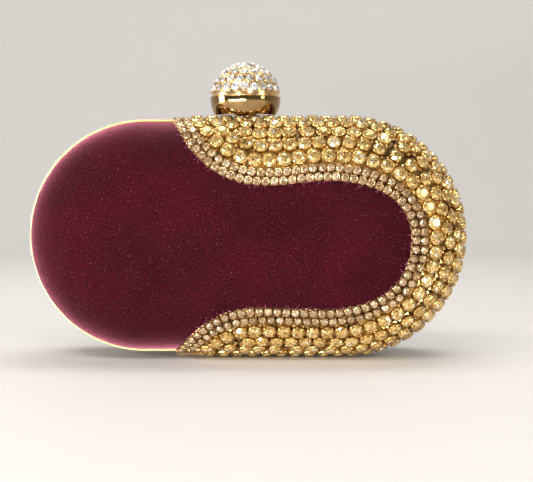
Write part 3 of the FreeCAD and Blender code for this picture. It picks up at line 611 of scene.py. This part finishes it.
PAVILION = 0.62  # depth of a CAD stone below its girdle, for a radius of 1
LARGE_CUP, SMALL_CUP = 2.1 * MM, 1.3 * MM  # cup heights
CUP_WALL, CUP_RIM = 0.26 * MM, 0.27 * MM
# Painted facet tones by kind of facet, standing in for what each facet reflects: star and table
# facets painted lighter, the pavilion painted dark.
TONE_BASE = {"table": 0.50, "star": 0.68, "kite": 0.55, "girdle": 0.42, "edge": 0.25, "under": 0.2}
TONE_SPREAD = {"table": 0.26, "star": 0.22, "kite": 0.2, "girdle": 0.24, "edge": 0.05, "under": 0.05}


def seat_of(points, cup_height):
    """The place on the cover, the outward direction and the radius of one CAD stone. Its tip is
    the corner nearest its own axis."""
    centre = points.mean(axis=0)
    _, _, axes = np.linalg.svd(points - centre)
    axis = axes[2]
    off = points - centre
    radial = np.linalg.norm(off - np.outer(off @ axis, axis), axis=1)
    tip = points[int(np.argmin(radial))]
    if (centre - tip) @ axis < 0:
        axis = -axis
    radius = float(radial.max())
    sunk = cup_height + 0.12 * MM - radius * PAVILION
    return Vector(tip - axis * sunk), Vector(axis), radius


def brilliant(radius, crown, sink):
    """A round brilliant: table, star, kite and girdle facets over a plain pavilion. Gives its
    corners, faces and the kind of each face."""
    def ring(count, r, z, shift=0.0):
        step = 2 * math.pi / count
        return [
            Vector((r * math.cos(step * (i + shift)), r * math.sin(step * (i + shift)), z))
            for i in range(count)
        ]

    table_r, star_r = radius * 0.54, radius * 0.80
    verts = [Vector((0, 0, crown))]
    verts += ring(8, table_r, crown) + ring(8, star_r, crown * 0.56, 0.5)
    verts += ring(16, radius, 0.0) + ring(16, radius, -0.05 * radius) + [Vector((0, 0, -sink))]
    table, star, girdle, under, tip = 1, 9, 17, 33, 49
    faces, kinds = [], []

    def add(kind, *corners):
        faces.append(corners)
        kinds.append(kind)

    for k in range(8):
        n, before = (k + 1) % 8, (k - 1) % 8
        add("table", 0, table + k, table + n)
        add("star", table + n, table + k, star + k)
        add("kite", table + k, star + before, girdle + 2 * k, star + k)
        add("girdle", star + k, girdle + 2 * k, girdle + 2 * k + 1)
        add("girdle", star + k, girdle + 2 * k + 1, girdle + (2 * k + 2) % 16)
    for k in range(16):
        n = (k + 1) % 16
        add("edge", girdle + k, under + k, under + n, girdle + n)
        add("under", under + k, tip, under + n)
    return verts, faces, kinds


def facing_out(verts, faces):
    """The faces, each turned so that it looks away from the shape's middle."""
    middle = sum(verts, Vector()) / len(verts)
    turned = []
    for face in faces:
        a, b, c = (verts[i] for i in face[:3])
        outward = (a + b + c) / 3 - middle
        turned.append(face if (b - a).cross(c - a).dot(outward) >= 0 else face[::-1])
    return turned


def facet_tone(kind, turn, bright):
    """Painted tone of one facet, standing in for what it reflects: most are mid, some painted dark, a
    few painted glints.
    """
    tone = TONE_BASE[kind] + rng.uniform(-1, 1) * TONE_SPREAD[kind] + bright
    # Table facets painted alternately lighter and darker, as painted reflections.
    if kind == "table":
        tone += 0.13 if turn % 2 else -0.13
    # About one crown facet in ten gets a painted glint.
    if kind in ("star", "table", "kite") and rng.random() < 0.10:
        tone += 0.35
    return max(0.02, min(1.0, tone))


def claw_cup(radius, rim, height, claw_reach, claw_rise, claw_width):
    """A stamped cup with a rolled rim and four claws, each bent over the stone from a gusset."""
    verts, faces = lathe(
        [
            (radius * 0.90, 0.05 * MM),
            (radius * 0.985, 0.30 * MM),
            (radius, height * 0.55),
            (radius, height - 0.05 * MM),
            (radius - rim * 0.35, height + 0.16 * MM),
            (radius - rim, height + 0.14 * MM),
            (radius - rim * 1.15, height - 0.35 * MM),
            (radius * 0.5, height * 0.45),
            (radius * 0.2, 0.4 * MM),
            (radius * 0.2, 0.05 * MM),
        ],
        Vector(),
        turns=20,
    )
    for k in range(4):
        angle = math.pi / 4 + math.pi / 2 * k
        out = Vector((math.cos(angle), math.sin(angle), 0))
        side = Vector((-out.y, out.x, 0))
        path = [
            (radius - 0.02 * MM, height * 0.5, claw_width),
            (radius + 0.05 * MM, height - 0.1 * MM, claw_width),
            (radius - 0.04 * MM, height + claw_rise * 0.55, claw_width * 0.9),
            (radius - (radius - claw_reach) * 0.5, height + claw_rise * 0.95, claw_width * 0.75),
            (claw_reach, height + claw_rise * 1.02, claw_width * 0.45),
        ]
        add_claw(verts, faces, path, out, side, radius, rim * 0.55)
        add_gusset(verts, faces, out, side, radius, height)
    return verts, faces


def add_claw(verts, faces, path, out, side, radius, thick):
    """One tapering claw of five-sided section along a path of (reach, height, half width)."""
    start = len(verts)
    for i, (r, z, wide) in enumerate(path):
        ahead = path[min(i + 1, len(path) - 1)]
        behind = path[max(i - 1, 0)]
        along = Vector((ahead[0] - behind[0], ahead[1] - behind[1])).normalized()
        lift = out * along.y + Vector((0, 0, -along.x))
        centre = out * r + Vector((0, 0, z))
        for a, b in ((-1, 0), (-0.7, 1), (0.7, 1), (1, 0), (0, -0.6)):
            verts.append(centre + side * (a * wide * radius) + lift * (b * thick))
    for i in range(len(path) - 1):
        for n in range(5):
            a, b = start + i * 5, start + (i + 1) * 5
            m = (n + 1) % 5
            faces.append((a + n, a + m, b + m, b + n))
    faces.append(tuple(start + n for n in reversed(range(5))))
    faces.append(tuple(start + (len(path) - 1) * 5 + n for n in range(5)))


def add_gusset(verts, faces, out, side, radius, height):
    """The small web at the foot of a claw."""
    start = len(verts)
    low_z = Vector((0, 0, 0.12 * MM))
    foot = out * (radius * 0.86) + low_z
    verts.append(out * (radius * 1.36) + low_z)
    verts += [foot + side * (radius * 0.50), foot - side * (radius * 0.50)]
    verts.append(out * (radius * 0.95) + Vector((0, 0, height * 0.62)))
    faces += [(start, start + 1, start + 3), (start, start + 3, start + 2)]
    faces += [(start + 1, start + 2, start + 3), (start, start + 2, start + 1)]


def scatter(name, template, places, material, body, replaces, tones=None):
    """Copies of one small mesh at many places, as one piece."""
    verts, faces = template
    all_verts, all_faces = [], []
    for matrix in places:
        start = len(all_verts)
        all_verts += [matrix @ v for v in verts]
        all_faces += [tuple(start + i for i in face) for face in faces]
    smooth = tones is None
    made = add_mesh(name, all_verts, all_faces, material, body, replaces, smooth)
    if tones is None:
        work = bmesh.new()
        work.from_mesh(made.data)
        bmesh.ops.recalc_face_normals(work, faces=work.faces)
        work.to_mesh(made.data)
        work.free()
        made.data.set_sharp_from_angle(angle=math.radians(42))
    else:
        layer = made.data.attributes.new("tone", "FLOAT", "FACE")
        layer.data.foreach_set("value", tones)
    return made


def places_for(seats, wobble):
    """Matrices at the seats: Z outwards, X towards the nearest neighbour, each a little off."""
    found = []
    for i, (point, axis) in enumerate(seats):
        others = [q for j, (q, _) in enumerate(seats) if j != i]
        along = min(others, key=lambda q: (q - point).length) - point
        x = (along - axis * along.dot(axis)).normalized()
        y = axis.cross(x)
        turn = Matrix((x, y, axis)).transposed()
        tilt = Quaternion(
            Vector((rng.uniform(-1, 1), rng.uniform(-1, 1), 0)).normalized(),
            math.radians(rng.gauss(0, wobble)),
        )
        spin = Quaternion((0, 0, 1), math.radians(rng.gauss(0, wobble * 2.5)))
        full = (turn @ (tilt @ spin).to_matrix()).to_4x4()
        found.append(Matrix.Translation(point) @ full)
    return found


def stone_group(name, cup_height, cup_metal, glass, claw_width, mottle_and_glare=None):
    """The cups and stones of one group, on the seats of its CAD stones. If a point is given, the
    stone nearest to it has one even pale tone on every facet: a painted reflection across its face."""
    found = [seat_of(points, cup_height) for points in islands(f"{name}_stones")]
    radius = found[0][2]
    seats = [(point, axis) for point, axis, _ in found]
    places = places_for(seats, 1.8)
    girdle = cup_height + 0.02 * MM
    crown = radius * 0.40
    verts, faces, kinds = brilliant(radius * 0.99, crown, radius * 0.55)
    faces = facing_out(verts, faces)
    lifted = [v + Vector((0, 0, girdle)) for v in verts]
    tones = []
    glare_stone = None
    if mottle_and_glare is not None:
        glare_stone = min(places, key=lambda place: (place.translation - mottle_and_glare).length)
    for place in places:
        # Each stone's painted facet tones shifted a little lighter or darker at random.
        bright = rng.gauss(0.0, 0.07)
        if place is glare_stone:
            # One even pale tone on all facets: a painted reflection across this stone's face.
            tones += [0.86] * len(kinds)
        else:
            tones += [facet_tone(kind, i // 5, bright) for i, kind in enumerate(kinds)]
    scatter(
        f"{name}_gems", (lifted, faces), places, glass, "front_half", [f"{name}_stones"], tones
    )
    cup = claw_cup(
        radius + CUP_WALL, CUP_RIM, cup_height, radius * 0.80, crown * 0.62, claw_width
    )
    scatter(
        f"{name}_claw_cups", cup, places, cup_metal, "front_half", [f"{name}_cups"]
    )
    return seats


def build_stones():
    # Point beside the large stone that shows a painted reflection across its whole face.
    mottle_and_glare = Vector((37 * MM, -26 * MM, MIDDLE_Z + 39 * MM))
    seats = {}
    for name in ("foot", "edge", "large"):
        glare_spot = mottle_and_glare if name == "large" else None
        seats[name] = stone_group(name, LARGE_CUP, CUP_GOLD, TOPAZ, 0.19, glare_spot)
    seats["small"] = stone_group("small", SMALL_CUP, PALE_GOLD, CHAMPAGNE, 0.17)
    # Rings of painted-shade gold in the gaps between the large cups.
    build_gap_shade_plates(seats["large"])
    build_threads(seats)


def build_gap_shade_plates(seats):
    """Thin rings under the large cups, which close the gaps between them. Their dark gold is painted
    shade, the shade that falls between the cups.
    """
    inner, outer = 2.4 * MM, 4.5 * MM
    plate = lathe(
        [(inner, 0.04 * MM), (outer, 0.04 * MM), (outer, 0.16 * MM), (inner, 0.16 * MM)],
        Vector(), turns=16,
    )
    places = places_for(seats, 0.6)
    scatter("large_gap_shade_plates", plate, places, SHADE_GOLD, "front_half", [])


def build_threads(seats):
    """Short loose velvet fibres along the inner side of the stone trim."""
    large = [p for name in ("foot", "edge", "large") for p, _ in seats[name]]
    small = [p for p, _ in seats["small"]]
    row_reach, farthest_large = 4.6 * MM, 16 * MM
    lines = []
    for point, axis in seats["small"]:
        near = min(large, key=lambda q: (q - point).length)
        inward = point - near
        inward = (inward - axis * inward.dot(axis)).normalized()
        blocked = any(
            0 < (q - point).length < row_reach and (q - point).normalized().dot(inward) > 0.55
            for q in small
        )
        if blocked or (near - point).length > farthest_large:
            continue
        side = axis.cross(inward)
        for _ in range(rng.choice((0, 1, 1, 2))):
            start = point + inward * 1.35 * MM + side * rng.uniform(-1.4, 1.4) * MM
            start += axis * rng.uniform(0.05, 0.25) * MM
            length = rng.uniform(0.9, 2.3) * MM
            bend, lean = rng.uniform(-0.8, 0.8), rng.uniform(-0.7, 0.7)
            line = []
            for i in range(6):
                t = i / 5
                step = inward * (t * length) + side * ((lean * t + bend * t * t) * length)
                line.append(start + step + axis * (math.sin(math.pi * t) * 0.22 * length))
            lines.append(line)
    tube("border_threads", lines, 0.07 * MM, THREAD, "front_half", sides=5, taper=True)


# --- ball ------------------------------------------------------------------------------------


def build_ball():
    build_bowl()
    build_waist_ring()
    build_dome()
    build_crystals()


def build_bowl():
    """The lower bowl of the ball, with a hollowed underside and a screw hole."""
    depth = BALL.z - BALL_FLOOR
    base_angle = math.asin(depth / BALL_R)
    outer = [
        (BALL_R * math.cos(a), -BALL_R * math.sin(a))
        for a in np.linspace(base_angle - 0.04, 0.0, 30)
    ]
    inner_r = BALL_R - BALL_WALL
    inner_angle = math.asin((depth - BALL_WALL) / inner_r)
    inner = [
        (inner_r * math.cos(a), -inner_r * math.sin(a)) for a in np.linspace(0.0, inner_angle, 16)
    ]
    hole, edge = 1.45 * MM, outer[0][0]
    under = [
        (5.6 * MM, -depth), (7.0 * MM, -depth + 0.5 * MM), (edge - 1.6 * MM, -depth + 0.45 * MM),
        (edge - 0.6 * MM, -depth),
    ]
    profile = [(hole, -depth)] + under + outer + inner + [(hole, -depth + BALL_WALL)]
    verts, faces = lathe(profile, BALL, turns=128)
    bowl = add_mesh("ball_bowl", verts, faces, MIRROR_GOLD, "clasp", ["ball_base_cup"])
    tidy_normals(bowl, 40)


def build_waist_ring():
    """Two beads round the ball's widest line."""
    ring_low, ring_high = low("ball_rim_ring", 2) - BALL.z, high("ball_rim_ring", 2) - BALL.z
    middle, r = (ring_low + ring_high) / 2, high("ball_rim_ring", 0)
    quarter = (ring_high - ring_low) / 4
    beads = []
    for centre in (ring_low + quarter, ring_high - quarter):
        beads += [
            (r - 0.2 * MM + 0.2 * MM * math.cos(a), centre + quarter * math.sin(a))
            for a in np.linspace(-1.4, 1.4, 9)
        ]
    profile = [(r - 1.2 * MM, ring_low)] + beads + [(r - 1.2 * MM, ring_high), (r - 1.4 * MM, middle)]
    verts, faces = lathe(profile, BALL, turns=128)
    ring = add_mesh("ball_waist_ring", verts, faces, GOLD, "clasp", ["ball_rim_ring"])
    tidy_normals(ring, 50)


def build_dome():
    """The thin upper shell that carries the crystals."""
    start = low("ball_dome", 2) - BALL.z
    outer_up = [
        (DOME_R * math.cos(a), DOME_R * math.sin(a))
        for a in np.linspace(math.asin(start / DOME_R), math.pi / 2 - 0.01, 40)
    ]
    inner_dome = DOME_R - BALL_WALL
    inner_up = [
        (inner_dome * math.cos(a), inner_dome * math.sin(a))
        for a in np.linspace(math.pi / 2 - 0.01, math.asin(start / inner_dome), 20)
    ]
    verts, faces = lathe(outer_up + inner_up, BALL, turns=128)
    dome = add_mesh("ball_dome_shell", verts, faces, GOLD, "clasp", ["ball_dome"])
    tidy_normals(dome, 40)


def tidy_normals(made, angle):
    work = bmesh.new()
    work.from_mesh(made.data)
    bmesh.ops.remove_doubles(work, verts=work.verts, dist=1e-7)
    bmesh.ops.recalc_face_normals(work, faces=work.faces)
    work.to_mesh(made.data)
    work.free()
    made.data.set_sharp_from_angle(angle=math.radians(angle))


def build_crystals():
    """Clear brilliants in thin collars, on the seats of the CAD crystals."""
    radius, collar = 1.73 * MM, 0.20 * MM
    seats = []
    for points in islands("ball_crystals"):
        out = (Vector(points.mean(axis=0)) - BALL).normalized()
        seats.append((BALL + out * (DOME_R + 0.02 * MM), out))
    places = places_for(seats, 1.4)
    girdle, crown = 0.34 * MM, radius * 0.36
    verts, faces, kinds = brilliant(radius, crown, 0.3 * MM)
    faces = facing_out(verts, faces)
    lifted = [v + Vector((0, 0, girdle)) for v in verts]
    tones = []
    # Painted facet tones for the clear stones: painted reflections and a few painted glints, each
    # stone a little lighter or darker.
    for _ in places:
        bright = rng.gauss(-0.03, 0.14)
        tones += [facet_tone(kind, i // 5, bright) for i, kind in enumerate(kinds)]
    scatter(
        "ball_gems", (lifted, faces), places, CRYSTAL, "clasp", ["ball_crystals"], tones
    )
    profile = [(radius + collar, -0.25 * MM), (radius + collar, 0.36 * MM)]
    profile += [
        (radius + collar / 2 + collar / 2 * math.cos(a), 0.40 * MM + collar / 2 * math.sin(a))
        for a in np.linspace(0.2, math.pi - 0.2, 6)
    ]
    profile += [(radius + 0.01 * MM, 0.30 * MM), (radius + 0.01 * MM, -0.25 * MM)]
    scatter(
        "ball_collars", lathe(profile, Vector(), turns=24), places, BRIGHT_GOLD, "clasp",
        ["ball_bezels"],
    )


# --- hardware that keeps its CAD shape -------------------------------------------------------

CAD_MATERIALS = {
    FRAME_GOLD: ("front_frame", "back_frame"),
    GOLD: (
        "front_hinge_leaf", "back_hinge_leaf", "front_leaf_rivets",
        "back_leaf_rivets", "clasp_bracket", "clasp_lever", "clasp_striker", "bracket_screws",
        "striker_screws", "chain_loop_left", "chain_loop_right",
    ),
    STEEL: ("hinge_pin", "clasp_pivot_pin", "clasp_spring", "ball_screw"),
    SHELL: ("front_shell", "back_shell"),
}


def dress_hardware():
    for material, names in CAD_MATERIALS.items():
        for name in names:
            mesh = nodes[name].data
            mesh.materials.clear()
            mesh.materials.append(material)


# --- room, lights and camera -----------------------------------------------------------------


def build_room():
    """A pale round floor that curves up into a backdrop on every side."""
    centre, flat, tall, bend = Vector((0, -0.6, 0)), 1.4, 3.0, 0.8
    bend_steps, turns = 12, 96
    profile = [(0.001, 0.0), (0.4, 0.0), (flat, 0.0)]
    for i in range(1, bend_steps + 1):
        angle = math.pi / 2 * i / bend_steps
        profile.append((flat + bend * math.sin(angle), bend - bend * math.cos(angle)))
    profile.append((flat + bend, tall))
    verts, faces = lathe(profile, centre, turns, closed=False)
    faces.append(tuple(i * len(profile) for i in range(turns)))
    pale = Shader("pale_floor", (0.72, 0.70, 0.67), 0.6).material
    new_object("floor", verts, faces, pale)


def area_light(name, place, target, size, power, color=(1, 1, 1)):
    """A rectangle of the given size in metres and power in watts, turned towards its target."""
    light = bpy.data.lights.new(name, "AREA")
    light.shape = "RECTANGLE"
    light.size, light.size_y = size
    light.energy = power
    light.color = color
    made = bpy.data.objects.new(name, light)
    made.location = place
    made.rotation_euler = (Vector(target) - Vector(place)).to_track_quat("-Z", "Y").to_euler()
    bpy.context.scene.collection.objects.link(made)


def build_lights():
    """Soft area lights: a key, two sides, one low strip, top, backdrop, and three sparks."""
    aim = (0, 0, MIDDLE_Z)
    area_light("key", (-0.35, -0.55, 0.85), aim, (0.5, 0.35), 3.5, (1.0, 0.97, 0.93))
    area_light("right", (0.75, -0.45, 0.35), aim, (0.2, 0.6), 2.2, (1.0, 0.96, 0.90))
    area_light("left", (-0.80, -0.10, 0.06), aim, (0.3, 0.5), 6.6, (1.0, 0.93, 0.94))
    area_light("low", (-0.30, -0.60, 0.012), (-0.04, 0, 0.03), (0.7, 0.02), 7.5)
    area_light("top", (0.1, 0.25, 0.95), aim, (0.7, 0.3), 2.8)
    area_light("back", (0.0, 0.3, 1.6), (0, 1.4, 0.3), (1.6, 0.5), 11.0)
    for i, place in enumerate(((0.22, -0.75, 0.42), (-0.28, -0.7, 0.25), (0.02, -0.6, 0.75))):
        area_light(f"spark_{i}", place, aim, (0.04, 0.04), 0.8)
    world = bpy.data.worlds.new("studio")
    bpy.context.scene.world = world
    world.use_nodes = True
    background = world.node_tree.nodes["Background"]
    background.inputs["Color"].default_value = (0.80, 0.82, 0.85, 1)
    background.inputs["Strength"].default_value = 0.14
    bpy.context.scene.view_settings.view_transform = "Standard"


def build_camera():
    """Half a metre in front of the case, a little above and to the right of its middle."""
    lift, distance = math.radians(2.5), 0.484
    camera = bpy.data.cameras.new("camera")
    camera.sensor_width = 36.0
    camera.lens = 73.553
    camera.clip_start = 0.01
    made = bpy.data.objects.new("camera", camera)
    aim = Vector((9.3 * MM, 0, MIDDLE_Z - 2.5 * MM))
    made.location = aim + Vector((0, -math.cos(lift), math.sin(lift))) * distance
    made.rotation_euler = (aim - made.location).to_track_quat("-Z", "Y").to_euler()
    bpy.context.scene.collection.objects.link(made)
    bpy.context.scene.camera = made


build_covers()
build_pocket()
build_stones()
build_ball()
dress_hardware()
build_room()
build_lights()
build_camera()
